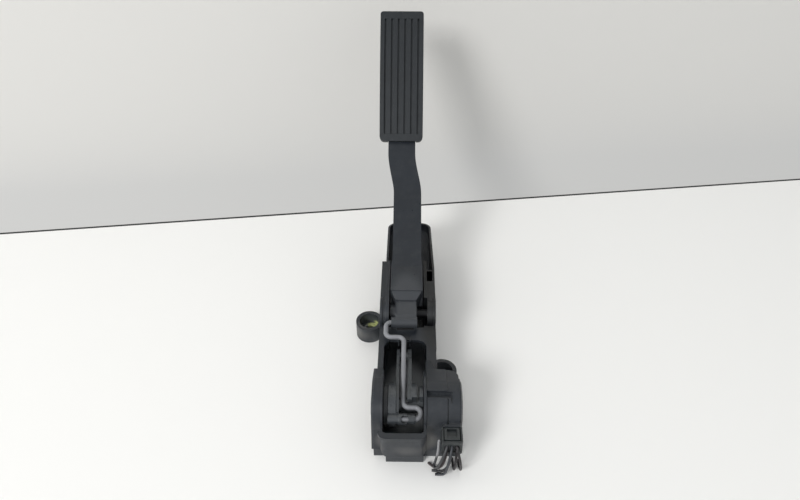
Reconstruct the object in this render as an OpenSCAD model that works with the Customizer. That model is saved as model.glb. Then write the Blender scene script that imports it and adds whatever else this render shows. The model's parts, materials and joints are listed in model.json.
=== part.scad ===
// Drive-by-wire accelerator pedal: a moulded bracket, a ribbed foot pad on a hanging arm,
// a bent link rod that carries the arm's motion to a sprung drum, and a rotary position sensor.
// The frame lies on the mounting face. X runs along the pivots, Y from the sensor to the pad.

/* [Pedal arm] */
// Height of the arm's pivot above the mounting face
pivot_z = 35; // [34:0.5:37]
// Travel of the arm from idle to full throttle, in degrees
travel = 15; // [12:0.5:16]
// Width of the arm's front face
arm_w = 26.4; // [22:0.2:28]
// Width of the knuckle that turns between the cheeks
hub_w = 28.6; // [26:0.2:29]
// Radius of the hub tube around the pivot pin
hub_r = 8.4; // [8:0.2:10]
// Thickness of the arm's front and back flanges
flange_t = 3.2; // [2.6:0.2:4]
// Thickness of the web between the flanges
web_t = 3.5; // [2.5:0.5:5]
// Sideways jog of the arm between the bracket and the pad
jog_x = -6; // [-8:0.5:-3]

/* [Foot pad] */
// Width of the rubber pad
pad_w = 42; // [38:1:46]
// Length of the rubber pad
pad_l = 126; // [118:1:132]
// Thickness of the rubber pad
pad_t = 9; // [8:0.5:11]
// Slope of the pad against the mounting face, in degrees
pad_tilt = 50; // [48:1:54]
// Radius of the pad's gentle curve along its length
pad_curve_r = 460; // [400:10:600]
// Distance from groove to groove
groove_pitch = 6.4; // [5.8:0.1:6.6]
// Depth of the grooves
groove_depth = 1.8; // [1:0.2:2.4]

/* [Link and drum] */
// Distance from the arm's pivot back to the drum's pivot, along Y
drum_back = 92.4; // [91:0.2:94]
// Height of the drum's pivot above the mounting face
drum_z = 27.5; // [27:0.5:28]
// Throw of the two cranks that the rod joins
crank_r = 19; // [18:0.5:19.5]
// Angle of the cranks above the line to the rear, in degrees
crank_a = 22; // [20:1:24]
// Diameter of the link rod
rod_d = 4; // [3.4:0.1:4.1]
// Radius of the drum's rim
drum_r = 17; // [16:0.5:17.5]

/* [Bracket] */
// Thickness of the base plate
base_t = 3.5; // [3:0.5:4.5]
// Clear width of the channel that the arm turns in
channel_w = 30.6; // [30.2:0.2:31.4]
// Thickness of the moulded walls
wall_t = 3; // [2.6:0.2:3.2]
// Overall width of the upper bracket
bracket_w = 48.8; // [48:0.2:50]
// Height of the deck around the window
deck_z = 36; // [35.4:0.2:36.4]
// Outer radius of the two nut cups
cup_r = 12.3; // [11.8:0.1:12.6]
// Height of the two nut cups
cup_h = 16.4; // [15:0.2:18]
// Radius of the bolt hole in the cup's steel sleeve
bolt_hole_r = 3.3; // [3:0.1:3.6]

/* [Sensor] */
// Outer radius of the sensor housing and the spring chamber
sensor_r = 22.5; // [22:0.5:23.5]
// Width of the sensor housing along the shaft
sensor_w = 25.2; // [24.8:0.2:26]
// Radius of the drum's shaft
shaft_r = 4; // [3.6:0.1:4.2]
// Outer diameter of the harness wires
wire_d = 2; // [1.6:0.1:2.2]

/* [Hidden] */
$fn = 64;

black_plastic = "#2b2e31";
dark_plastic = "#232629";
rubber_black = "#26282a";
steel = "#9a9ca0";
spring_steel = "#7d8084";

// Running gap of a round part in its bearing
run = 0.06;
// Gap between fixed parts that are only put together
seat = 0.05;
// Gap between a moving part and the wall beside it
side_gap = 0.3;

// Pivots and crank pins, as [y, z]
arm_axis = [0, pivot_z];
drum_axis = [-drum_back, drum_z];
throw = crank_r * [-cos(crank_a), sin(crank_a)];
arm_crank = arm_axis + throw;
drum_crank = drum_axis + throw;
rod_r = rod_d / 2;

// Main planes of the bracket
channel_x = channel_w / 2;
bracket_mid = 1.2;
bracket_left = bracket_mid - bracket_w / 2;
bracket_right = bracket_mid + bracket_w / 2;
outer_skin_t = 2;
boss_r = 15;
skin_top = pivot_z + boss_r;
cheek_far = 47;
inner_far = 54;
roof_y = [2, 28.5];
left_cheek_far = 55;
deck_far = arm_crank[0] + 2.1;
deck_t = 3;
// The pocket for the drum lies a little left of the arm's channel
pocket_mid = -1.7;
pocket_w = 31.3;
pocket_left = pocket_mid - pocket_w / 2;
pocket_right = pocket_mid + pocket_w / 2;
window_left = pocket_left - 1.2;
window_right = pocket_right + 3.2;
window_far = deck_far - 16.5;
lug_x = [-6.4, 3.3];
window_near = drum_axis[0] + 24;
collar_side = 2;
collar_left = pocket_left - 1.6;
collar_right = pocket_right + collar_side;
collar_r = sensor_r + 1.2;
lip_t = 4.4;
lip_inner = drum_crank[0] - 12.4;
collar_near = lip_inner - lip_t;
lip_z = deck_z - 1;
lip_bottom_z = 9;
base_near = drum_axis[0] - sensor_r - 4.9;
base_far = 60;
side_step = drum_axis[0] + 28.6;
side_step_z = deck_z + 1;
roof_a = 20;
tongue_tip = 127;
tongue_rim_z = 38;
tongue_left = -19.6;
tongue_right = 24.2;
tongue_wall = 2;
tongue_rise = 29;
tongue_round = 10;

// Mounting holes, as [x, y]
left_cup = [bracket_left - 10.8, 8];
right_cup = [bracket_right + 5.4, -48.5];
cup_wall = 3.4;
cup_floor = 5.5;
sleeve_wall = 1.6;
sleeve_flange_t = 1.2;

// Pivot pin, its recesses in the cheeks, and the stops of the arm
pin_r = 4;
pin_recess_r = 7.4;
pin_seat_left = bracket_left + 1.4;
pin_seat_right = bracket_right - 1.4;
stop_at = [0, 85];
stop_r = 5.5;
stop_t = 6.5;
stop_top = 33.2;
tail_eye_r = 4.8;
idle_gap = 0.15;

// Spring chamber on the left and sensor on the right of the collar
chamber_in = collar_left;
chamber_out = chamber_in - 5.5;
cover_t = 1.5;
cover_z = 9;
sensor_in = collar_right + 0.2;
sensor_out = sensor_in + sensor_w;
sensor_cover_t = 2.1;
seam_x = sensor_in + 15.5;
sensor_far = drum_axis[0] + 24.9;
sensor_far_z = drum_z + 14;
wedge = [sensor_in + 8.6, sensor_far + 12.8];
seal_d = 1.4;
screw_dy = 19.5;
screw_z = 9;
screw_boss = 6.5;
spigot_r = 12.3;
shaft_left = chamber_out + 0.8;
shaft_right = sensor_in + 11;

// Drum lever: two discs, a slot between its plates for the rod, and a nose
left_disc = [-13.5, -7.5];
right_disc = [4.6, 8.6];
slot_x = [-5.2, 1.4];
plate_r = 15;
nose_r = 6;
nose_reach = 50;
eye_r = 3.5;
lever_eye_end = 7.2;
eye_notch_x = -0.8;
right_flange = [10.6, pocket_right - side_gap];

// Connector
plug_w = 14.2;
plug_h = 12.2;
plug_l = 13;
plug_x = [sensor_in + 11.6, sensor_in + 11.6 + plug_w];
plug_z = [20, 20 + plug_h];
socket_near = drum_axis[0] - sensor_r - 1.6;
plug_near = socket_near - plug_l;
socket_wall = 1.5;
latch_t = 2;
bridge = latch_t + 1.2;

// One harness wire runs from each of these cavities, as [x, z]
wire_rows = [plug_z[0] + 4.2, plug_z[0] + 8.8];
wire_cols = [for (k = [0:2]) plug_x[0] + 3.1 + 3.8 * k];
wire_in = 1.6;
wire_starts = [for (row = wire_rows) for (col = wire_cols) [col, row]];
wire_tints = ["#6b4038", "#8a8c8e", "#3b2a2a", "#c4c4c0", "#77797c", "#2b2526"];
// Waypoints of the six wires after they leave the seal, as [x, y, z]
wire_routes = [
  [[29.5, -133.5, 16], [27, -133.5, 8], [23.5, -131, 2.4], [20, -128, 1.3], [18, -126, 1.3]],
  [[33.5, -134, 15], [31, -134.5, 7], [28, -133.6, 1.9], [24, -133.2, 1.3], [20.5, -132.5, 1.3]],
  [[38, -134, 16], [37.5, -134.5, 8], [37.3, -132, 2.3], [36.9, -127, 1.3], [36.5, -122, 1.3]],
  [[27.5, -135.5, 21], [24, -135.5, 9], [22, -131.5, 5.2], [23.6, -127.5, 8], [25, -126, 17], [25, -126, 31]],
  [[33, -136, 23], [31.5, -137.5, 13], [30, -137, 4], [26.5, -136, 1.3], [23, -135.8, 1.3]],
  [[40.5, -135.5, 22], [42, -136, 12], [42.2, -133.5, 4], [41.5, -128.5, 1.4], [41, -123, 1.3]]
];

// Plain geometry helpers

function unit(v) = v / norm(v);
function bezier(p, t) =
  pow(1 - t, 3) * p[0] + 3 * t * pow(1 - t, 2) * p[1] + 3 * t * t * (1 - t) * p[2] + pow(t, 3) * p[3];
function bezier_slope(p, t) =
  unit(pow(1 - t, 2) * (p[1] - p[0]) + 2 * t * (1 - t) * (p[2] - p[1]) + t * t * (p[3] - p[2]));
function left_of(v) = [-v[1], v[0]];
function smooth(t) = let (c = min(1, max(0, t))) c * c * (3 - 2 * c);
function turned(v, a) = [v[0] * cos(a) - v[1] * sin(a), v[0] * sin(a) + v[1] * cos(a)];

// Extrudes a (y, z) outline from x0 to x1
module slab_x(x0, x1) translate([x0, 0, 0]) rotate([90, 0, 90]) linear_extrude(x1 - x0) children();

// Extrudes an (x, z) outline from y0 to y1
module slab_y(y0, y1) translate([0, y1, 0]) rotate([90, 0, 0]) linear_extrude(y1 - y0) children();

// The same between two ends in either order
module span_x(a, b) slab_x(min(a, b), max(a, b)) children();

// Cylinder along X from x0 to x1 around the axis at = [y, z]
module round_x(r, x0, x1, at) translate([x0, at[0], at[1]]) rotate([0, 90, 0]) cylinder(r = r, h = x1 - x0);

// Box between two corners
module block(low, high) translate(low) cube(high - low);

// Rectangle with one radius at each corner, from the low corner to the high one
module soft_rect(low, high, r) {
  translate([low[0] + r, low[1]]) square([high[0] - low[0] - 2 * r, high[1] - low[1]]);
  translate([low[0], low[1] + r]) square([high[0] - low[0], high[1] - low[1] - 2 * r]);
  for (x = [low[0] + r, high[0] - r]) for (y = [low[1] + r, high[1] - r]) translate([x, y]) circle(r = r);
}

// Turns a revolve about Z into one about X, with its zero angle pointing up
module about_x() rotate(180, [1, 0, 1]) children();

// Directions and ring frames along a list of points
function directions(p) = [for (i = [0:len(p) - 1])
  unit(i == 0 ? p[1] - p[0] : i == len(p) - 1 ? p[i] - p[i - 1] : p[i + 1] - p[i - 1])];
function side_of(d) = unit(cross(d, abs(d[2]) < 0.9 ? [0, 0, 1] : [1, 0, 0]));
function carried(n, d) = unit(n - (n * d) * d);
function sides_along(d, i = 0, n = undef) = i == len(d) ? [] :
  let (m = i == 0 ? side_of(d[0]) : carried(n, d[i])) concat([m], sides_along(d, i + 1, m));

// Round tube along points, closed at both ends
module tube_along(p, r, sides = 8) {
  d = directions(p);
  n = sides_along(d);
  count = len(p);
  rings = [for (i = [0:count - 1]) for (k = [0:sides - 1])
    p[i] + r * (cos(360 * k / sides) * n[i] + sin(360 * k / sides) * cross(d[i], n[i]))];
  walls = [for (i = [0:count - 2]) for (k = [0:sides - 1]) let (j = (k + 1) % sides)
    [i * sides + k, (i + 1) * sides + k, (i + 1) * sides + j, i * sides + j]];
  ends = [[for (k = [0:sides - 1]) k], [for (k = [sides - 1:-1:0]) (count - 1) * sides + k]];
  polyhedron(rings, concat(walls, ends), convexity = 6);
}

// Smooth curve through waypoints, with steps points for each stretch
function through(p, steps) = concat(
  [for (i = [0:len(p) - 2]) for (s = [0:steps - 1]) let (
    t = s / steps,
    a = p[max(0, i - 1)], b = p[i], c = p[i + 1], e = p[min(len(p) - 1, i + 2)])
    0.5 * (2 * b + (c - a) * t + (2 * a - 5 * b + 4 * c - e) * t * t + (3 * b - a - 3 * c + e) * t * t * t)],
  [p[len(p) - 1]]);

// Bracket

module base_plate() linear_extrude(base_t) {
  translate([bracket_left, side_step]) square([bracket_w, base_far - side_step]);
  translate([chamber_out, base_near]) square([collar_right - chamber_out, side_step - base_near + 1]);
}

module cheek_side(far, top) {
  polygon([[deck_far, 0], [far, 0], [far, top], [0, top], [0, deck_z], [deck_far, deck_z]]);
  translate(arm_axis) circle(r = boss_r);
}

// Cheek beside the hub: an inner and an outer skin with ribs between them and a boss through both
module cheek(s, x_in, x_out, far) {
  span_x(x_in, x_in + s * wall_t) cheek_side(inner_far, skin_top);
  span_x(x_out - s * outer_skin_t, x_out) cheek_side(far, skin_top - 2);
  for (y = [24, cheek_far - outer_skin_t, far - outer_skin_t])
    block([min(x_in, x_out), y, 0], [max(x_in, x_out), y + outer_skin_t, skin_top - 5]);
  span_x(x_in, x_out) translate(arm_axis) circle(r = boss_r - 1.6);
  block([min(x_in, x_out), roof_y[0], skin_top - 4.4], [max(x_in, x_out), roof_y[1], skin_top - 2]);
}

// Deck around the window, on inner walls with upright ribs between them and the outside
module deck() {
  block([bracket_left, side_step, deck_z - deck_t], [bracket_right, deck_far, deck_z]);
  block([window_left - wall_t, side_step, 0], [window_left, deck_far, deck_z]);
  block([window_right, side_step, 0], [window_right + wall_t, deck_far, deck_z]);
  for (y = [side_step, side_step + 21, side_step + 42]) {
    block([bracket_left, y, 0], [window_left, y + 2.2, deck_z]);
    block([window_right, y, 0], [bracket_right, y + 2.2, deck_z]);
  }
}

// Side profile round the drum: a circle that runs into a flat roof falling to the far end
module drum_side(r, far, far_z) {
  translate(drum_axis) circle(r = r);
  polygon([[base_near, 0], [far, 0], [far, far_z], drum_axis + r * [sin(roof_a), cos(roof_a)], drum_axis,
           drum_axis - [r, 0], [base_near, 9]]);
}

// Tall collar that closes the pocket like a bath, with a rounded lip at the front
module collar() {
  slab_x(collar_left, collar_right) intersection() {
    drum_side(collar_r, side_step, side_step_z);
    translate([base_near, 0]) square([200, 90]);
  }
  block([collar_left, lip_inner, lip_bottom_z + 4], [collar_right, drum_axis[0] - 12, lip_z]);
  intersection() {
    slab_y(collar_near, base_near + 8) soft_rect([collar_left, lip_bottom_z], [collar_right, 60], 6);
    linear_extrude(lip_z) soft_rect([collar_left, collar_near], [collar_right, window_near], 6);
  }
  // Bead round the lip
  translate([0, 0, lip_z - 2.6]) linear_extrude(2.6)
    intersection() {
      soft_rect([collar_left - 1.8, collar_near - 0.7], [collar_right + 0.2, collar_near + 30], 6);
      translate([collar_left - 2, collar_near - 1]) square([60, lip_t + 3]);
    }
}

module spring_chamber() slab_x(chamber_out, chamber_in + 0.5) drum_side(sensor_r, side_step, side_step_z);

// Trough past the cheeks that the arm sinks into
module tongue_plan(inset) {
  soft_rect([tongue_left + inset, 20], [tongue_right - inset, tongue_tip - inset], tongue_round - inset);
  polygon([[0, 20], [bracket_right - inset, 20], [bracket_right - inset, cheek_far],
           [tongue_right - inset, tongue_tip - tongue_round], [0, tongue_tip - tongue_round]]);
}
module tongue() difference() {
  intersection() {
    slab_x(tongue_left, bracket_right)
      polygon([[cheek_far - 2, 0], [base_far, 0], [tongue_tip, tongue_rise],
               [tongue_tip, tongue_rim_z], [cheek_far - 2, skin_top - 2]]);
    linear_extrude(skin_top) tongue_plan(0);
  }
  intersection() {
    slab_x(tongue_left, bracket_right)
      polygon([[cheek_far - 3, base_t], [base_far - 1, base_t], [tongue_tip, tongue_rise + tongue_wall],
               [tongue_tip, 90], [cheek_far - 3, 90]]);
    linear_extrude(90) tongue_plan(tongue_wall);
  }
}

// Fins under the tongue
module tongue_fins() for (x = [tongue_left + 1, 1, tongue_right - 3.2]) slab_x(x, x + 2.2)
  polygon([[base_far - 3, 0.5], [base_far + 16, 0.5], [base_far + 44, tongue_rise * 44 / 67 + 1],
           [base_far - 3, 2]]);

// Post in the trough that carries the rubber stop
module stop_post() translate([stop_at[0], stop_at[1], base_t])
  cylinder(r = stop_r, h = stop_top - stop_t - base_t);

// Cup for a nut, with webs to the bracket
module nut_cup(at, toward) {
  translate(at) cylinder(r = cup_r, h = cup_h);
  block([min(at[0], toward), at[1] - 8, 0], [max(at[0], toward), at[1] + 8, cup_floor + 1]);
  for (y = [at[1] - 8, at[1] + 6]) block([min(at[0], toward), y, 0], [max(at[0], toward), y + 2, cup_h - 2]);
}

module nut_cup_cuts(at) {
  intersection() {
    translate([at[0], at[1], cup_floor]) cylinder(r = cup_r - cup_wall, h = 60);
    if (at[0] > 0) block([bracket_right - 0.4, at[1] - 20, 0], [80, at[1] + 20, 80]);
    else block([-80, at[1] - 20, 0], [bracket_left + 0.4, at[1] + 20, 80]);
  }
  translate([at[0], at[1], -1]) cylinder(r = bolt_hole_r + sleeve_wall + seat, h = cup_floor + 2);
}

module front_tab() block([pocket_left + 2.5, collar_near + 1.7, 0], [pocket_right + 0.2, base_near + 2, lip_bottom_z - 0.5]);

module pocket_cuts() {
  translate([0, 0, base_t]) linear_extrude(80) {
    soft_rect([pocket_left, lip_inner], [pocket_right, window_near + 4], 3);
    polygon([[pocket_left, window_near], [pocket_right, window_near], [window_right, window_near + 5],
             [window_right, window_far - 8], [window_right - 8, window_far], [window_left + 4, window_far],
             [window_left, window_far - 7], [window_left, window_near + 5]]);
    translate([window_right - 8, window_far - 8]) circle(r = 8);
  }
  block([-channel_x, deck_far - 2, base_t], [channel_x, cheek_far + 3, 80]);
  block([window_left, window_far - 3, base_t], [channel_x, deck_far, deck_z - deck_t]);
}

module screw_spots() for (dy = [screw_dy, -screw_dy])
  translate([0, drum_axis[0] + dy, screw_z]) rotate([0, 90, 0]) children();

// Bosses inside the pocket that the sensor's screws bite into
module screw_bosses() screw_spots() translate([0, 0, pocket_right - screw_boss]) cylinder(r = 3.6, h = screw_boss + 1);

module bracket_bores() {
  round_x(pin_r + seat, bracket_left - 3, bracket_right + 3, arm_axis);
  block([channel_x - 0.1, deck_far, base_t + 6], [channel_x + wall_t, 5, skin_top + 2]);
  round_x(pin_recess_r, bracket_left - 3, pin_seat_left, arm_axis);
  round_x(pin_recess_r, pin_seat_right, bracket_right + 3, arm_axis);
  round_x(shaft_r + 2.5 + seat, chamber_in - 0.1, pocket_left + 1, drum_axis);
  round_x(sensor_r - 2.5, chamber_out - 1, chamber_in, drum_axis);
  round_x(spigot_r + seat, pocket_right - 1, collar_right + 1, drum_axis);
  round_x(spigot_r + seal_d + seat, collar_right - seal_d - 0.1, collar_right + 1, drum_axis);
  screw_spots() cylinder(r = 1.5, h = collar_right + 1);
  translate([stop_at[0], stop_at[1], stop_top - stop_t - 8]) cylinder(r = 2.2, h = 10);
}

module bracket_housing() color(black_plastic) difference() {
  union() {
    difference() {
      union() {
        base_plate();
        deck();
        collar();
        spring_chamber();
      }
      pocket_cuts();
    }
    cheek(-1, -channel_x, bracket_left, left_cheek_far);
    cheek(1, channel_x, bracket_right, cheek_far);
    // Closed top of the left cheek
    block([bracket_left, roof_y[1] - 1, skin_top - 4.4], [-channel_x, left_cheek_far, skin_top - 2]);
    tongue();
    tongue_fins();
    stop_post();
    screw_bosses();
    for (x = lug_x) block([x - 0.6, window_far - 2.6, deck_z - 5], [x + 0.6, window_far + 1.5, deck_z + 1.4]);
    nut_cup(left_cup, bracket_left + 1);
    nut_cup(right_cup, bracket_right - 1);
    front_tab();
  }
  nut_cup_cuts(left_cup);
  nut_cup_cuts(right_cup);
  bracket_bores();
}

module mount_sleeve(at) color(steel) translate([at[0], at[1], 0]) difference() {
  union() {
    cylinder(r = bolt_hole_r + sleeve_wall, h = cup_floor);
    translate([0, 0, cup_floor]) cylinder(r = 5.4, h = sleeve_flange_t);
  }
  translate([0, 0, -1]) cylinder(r = bolt_hole_r, h = cup_floor + 4);
}
module left_mount_sleeve() mount_sleeve(left_cup);
module right_mount_sleeve() mount_sleeve(right_cup);

clip_t = 1;
clip_x = pin_seat_right + seat;
module pivot_pin() color(steel) difference() {
  union() {
    round_x(pin_r, pin_seat_left - seat, pin_seat_right + clip_t + 0.9, arm_axis);
    round_x(6.5, pin_seat_left - 1.6, pin_seat_left - seat, arm_axis);
  }
  difference() {
    round_x(pin_r + 1, clip_x - seat, clip_x + clip_t + 0.1, arm_axis);
    round_x(pin_r - 1, clip_x - 1, clip_x + clip_t + 1, arm_axis);
  }
}

module pivot_pin_clip() color(spring_steel) difference() {
  round_x(pin_recess_r - 0.6, clip_x, clip_x + clip_t, arm_axis);
  round_x(pin_r - 1 + seat, clip_x - 1, clip_x + 3, arm_axis);
  translate([0, arm_axis[0], arm_axis[1]]) {
    block([clip_x - 1, -2.4, -9], [clip_x + 3, 2.4, 0]);
    for (a = [40, 140]) rotate([a, 0, 0]) block([clip_x - 1, 4.4, -1.6], [clip_x + 3, 8, 1.6]);
  }
}

module full_travel_stop() color(rubber_black) translate([stop_at[0], stop_at[1], stop_top - stop_t]) {
  cylinder(r = stop_r, h = stop_t - 2.5);
  translate([0, 0, stop_t - 2.5]) cylinder(r1 = stop_r, r2 = stop_r - 1.5, h = 2.5);
  translate([0, 0, -7]) cylinder(r = 2.1, h = 7.5);
}

// Low rubber pad on the deck, under the rod's upper eye
module idle_stop() color(rubber_black)
  block([-8, arm_crank[0] - 3, deck_z], [6, arm_crank[0] + 1.5, arm_crank[1] - tail_eye_r - idle_gap]);

// Round cover of the spring chamber, with a raised ring and spokes outside
module cover_side() intersection() {
  drum_side(sensor_r, side_step, side_step_z);
  translate([-200, cover_z]) square([300, 90]);
}
module spring_cover() color(dark_plastic) {
  slab_x(chamber_out - 0.8, chamber_out) cover_side();
  difference() {
    slab_x(chamber_out - cover_t, chamber_out - 0.7) cover_side();
    round_x(sensor_r - 3, chamber_out - cover_t - 1, chamber_out - 0.8, drum_axis);
  }
  round_x(8.5, chamber_out - cover_t - 1, chamber_out - 0.7, drum_axis);
  for (a = [0:60:300]) translate([0, drum_axis[0], drum_axis[1]]) rotate([a, 0, 0])
    block([chamber_out - cover_t, 4, -0.9], [chamber_out - 0.7, sensor_r - 2, 0.9]);
}

// Drum lever and its shaft

module plain_bush(x0, x1, at, r_in, r_out) difference() {
  round_x(r_out, x0, x1, at);
  round_x(r_in, x0 - 1, x1 + 1, at);
}
module left_shaft_bush() color("#b9b39a")
  plain_bush(chamber_in + 0.1, pocket_left, drum_axis, shaft_r + run, shaft_r + 2.5);
module right_shaft_bush() color("#b9b39a")
  plain_bush(pocket_right + 0.1, collar_right, drum_axis, shaft_r + run, shaft_r + 2.5);

module wave_washer() color(steel)
  plain_bush(pocket_left + 0.05, pocket_left + 0.55, drum_axis, 9, drum_r - 1.2);
module friction_ring() color("#6d5a3c")
  plain_bush(pocket_left + 0.6, left_disc[0] - side_gap, drum_axis, 8.5, drum_r - 1);

// Slice of a disc between two angles, in the (y, z) plane around the drum's axis
module sector(r, a0, a1) translate(drum_axis)
  polygon(concat([[0, 0]], [for (k = [0:16]) let (a = a0 + (a1 - a0) * k / 16) r * [cos(a), sin(a)]]));

// Nose of the lever, reaching from the drum to a round tip under the window's far edge
module nose() {
  tip = [nose_reach, -0.5];
  a = acos((plate_r - nose_r) / nose_reach);
  translate(drum_axis) {
    translate(tip) circle(r = nose_r);
    polygon([(plate_r - 0.03) * [cos(a), sin(a)], tip + (nose_r - 0.03) * [cos(a), sin(a)],
             tip + (nose_r - 0.03) * [cos(a), -sin(a)], (plate_r - 0.03) * [cos(a), -sin(a)], [0, 0]]);
  }
}

module drum_lever() color(dark_plastic) difference() {
  union() {
    round_x(6, left_disc[0], pocket_right - side_gap, drum_axis);
    round_x(drum_r, left_disc[0], left_disc[1], drum_axis);
    slab_x(left_disc[1] - 0.1, slot_x[0]) {
      translate(drum_axis) circle(r = plate_r);
      nose();
    }
    slab_x(slot_x[1], right_disc[0] + 0.1) {
      sector(plate_r, -75, 108);
      nose();
    }
    slab_x(right_disc[0], right_disc[1]) sector(drum_r, -60, 104);
    slab_x(right_flange[0], right_flange[1]) sector(plate_r, -57, 100);
    round_x(3, slot_x[0] - 0.5, slot_x[1] + 0.5, drum_axis + [nose_reach, -0.5]);
    // Eye of the rod's lower end
    slab_x(left_disc[0], slot_x[0]) polygon([
      drum_axis + turned([5, -3.6], 180 - crank_a), drum_axis + turned([5, 3.6], 180 - crank_a),
      drum_axis + turned([crank_r, 3.6], 180 - crank_a), drum_axis + turned([crank_r, -3.6], 180 - crank_a)]);
    round_x(eye_r, left_disc[0], lever_eye_end, drum_crank);
    round_x(eye_r + 0.8, slot_x[0] - 0.2, slot_x[1], drum_crank);
  }
  round_x(shaft_r + 0.02, -30, 30, drum_axis);
  round_x(rod_r + run, left_disc[0] + 3, 20, drum_crank);
  translate([eye_notch_x, drum_crank[0], drum_crank[1]]) rotate([40, 0, 0]) cylinder(r = 3, h = 9);
  // Lightening holes through the left disc
  for (a = [20:45:110]) translate([0, drum_axis[0], drum_axis[1]]) rotate([a, 0, 0])
    translate([left_disc[0] - 1, 11.2, 0]) rotate([0, 90, 0]) cylinder(r = 2.4, h = 12);
}

module drum_shaft() color(steel) difference() {
  round_x(shaft_r, shaft_left, shaft_right, drum_axis);
  block([shaft_right - 6, drum_axis[0] - 5, drum_axis[1] + 2.6], [shaft_right + 1, drum_axis[0] + 5, drum_axis[1] + 6]);
}

// Hub on the shaft's left end that winds both springs
module spring_carrier() color("#3a3d40") difference() {
  union() {
    round_x(8, chamber_out + 0.4, chamber_in - 0.4, drum_axis);
    translate([0, drum_axis[0], drum_axis[1]]) rotate([100, 0, 0])
      block([chamber_out + 0.5, 6, -1.5], [chamber_out + 1.6, 18.2, 1.5]);
  }
  round_x(shaft_r + 0.02, -40, 0, drum_axis);
}

// Torsion spring in the chamber: a flat coil whose outer leg rests on the chamber's wall
module torsion_spring(coil_r, wire_r, turns, first_x, pitch, leg_a, leg_r) {
  steps = 18;
  coil = [for (i = [0:turns * steps]) let (a = leg_a + 360 * i / steps)
    [first_x + pitch * i / steps, drum_axis[0] + coil_r * cos(a), drum_axis[1] + coil_r * sin(a)]];
  tube_along(concat([[first_x, drum_axis[0] + leg_r * cos(leg_a - 6),
                      drum_axis[1] + leg_r * sin(leg_a - 6)]], coil), wire_r, 8);
}
module return_spring_outer() color(spring_steel)
  torsion_spring(16, 0.7, 1.5, chamber_out + 2.6, 1.4, 140, sensor_r - 3.4);
module return_spring_inner() color(spring_steel)
  torsion_spring(11.2, 0.7, 1.5, chamber_out + 2.6, 1.4, 220, 14);

// Sensor

// Rounds the sensor's far outer corner, seen from above
module sensor_plan() linear_extrude(80) {
  translate([sensor_in, collar_near - 6]) square([sensor_w, sensor_far - 9 - collar_near + 6]);
  translate([sensor_in, sensor_far - 20]) square([sensor_w - 9, 20]);
  translate([sensor_out - 9, sensor_far - 9]) circle(r = 9);
}

module sensor_housing() color(black_plastic) difference() {
  union() {
    intersection() {
      union() {
        slab_x(sensor_in, seam_x) drum_side(sensor_r, sensor_far, sensor_far_z);
        slab_x(seam_x - 1, sensor_out) drum_side(sensor_r - 0.7, sensor_far, sensor_far_z - 0.7);
      }
      sensor_plan();
    }
    round_x(spigot_r, pocket_right + 0.1, sensor_in + 0.5, drum_axis);
    // Roof running out over the deck, cut off at a slant
    intersection() {
      slab_x(sensor_in, wedge[0]) polygon([[sensor_far - 1, deck_z + seat], [wedge[1], deck_z + seat],
        [wedge[1], deck_z + 0.4], [sensor_far - 1, sensor_far_z - 0.1]]);
      linear_extrude(80) polygon([[sensor_in, sensor_far - 1], [wedge[0], sensor_far - 1], [sensor_in + 3.8, wedge[1]],
        [sensor_in, wedge[1]]]);
    }
    // Shroud of the socket
    slab_y(socket_near, drum_axis[0] - 8) soft_rect([plug_x[0], plug_z[0]], [plug_x[1], plug_z[1] + bridge], 1.5);
  }
  // Shaft bore, bush seat and rotor room
  round_x(shaft_r + 0.6, pocket_right - 1, sensor_in + 5, drum_axis);
  round_x(shaft_r + 2.5 + seat, pocket_right - 1, collar_right + 0.05, drum_axis);
  round_x(sensor_r - 4, sensor_in + 3, sensor_out + 1, drum_axis);
  // Socket
  block([plug_x[0] + socket_wall, socket_near - 1, plug_z[0] + socket_wall],
        [plug_x[1] - socket_wall, socket_near + 11, plug_z[1] - socket_wall]);
  block([plug_x[0] - 0.9, plug_near, plug_z[0] - 0.7], [plug_x[1] + 0.9, socket_near, plug_z[1] + bridge + 0.3]);
  // Slot under the shroud's bridge for the plug's latch, with the nub that holds it
  difference() {
    block([plug_x[0] + 1, socket_near - 1, plug_z[1]], [plug_x[1] - 1, socket_near + 5, plug_z[1] + latch_t + 0.3]);
    slab_x(plug_x[0] + 4.6, plug_x[1] - 4.6) polygon([[socket_near + 1.4, plug_z[1] - 0.1],
      [socket_near + 3.4, plug_z[1] - 0.1], [socket_near + 3.4, plug_z[1] + 1.4], [socket_near + 2.6, plug_z[1] + 1.4]]);
  }
  // Recess over the top, a notch beside it and the seam of the end section
  block([sensor_in - 1, drum_axis[0] - 7.6, drum_axis[1] + sensor_r - 4],
        [seam_x + 4, drum_axis[0] - 2.4, drum_axis[1] + sensor_r + 1]);
  block([seam_x + 2.6, drum_axis[0] - 11, drum_axis[1] + sensor_r - 4],
        [seam_x + 4, drum_axis[0] - 6, drum_axis[1] + sensor_r + 1]);
  difference() {
    round_x(sensor_r + 1, seam_x, seam_x + 1, drum_axis);
    round_x(sensor_r - 1.8, seam_x - 1, seam_x + 2, drum_axis);
    block([seam_x - 1, drum_axis[0] - 8, 0], [seam_x + 2, drum_axis[0] + 40, 90]);
  }
  screw_spots() translate([0, 0, sensor_in - 1]) cylinder(r = 1.7, h = 6);
  screw_spots() translate([0, 0, sensor_in + 4]) cylinder(r = 4, h = 30);
}

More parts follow.
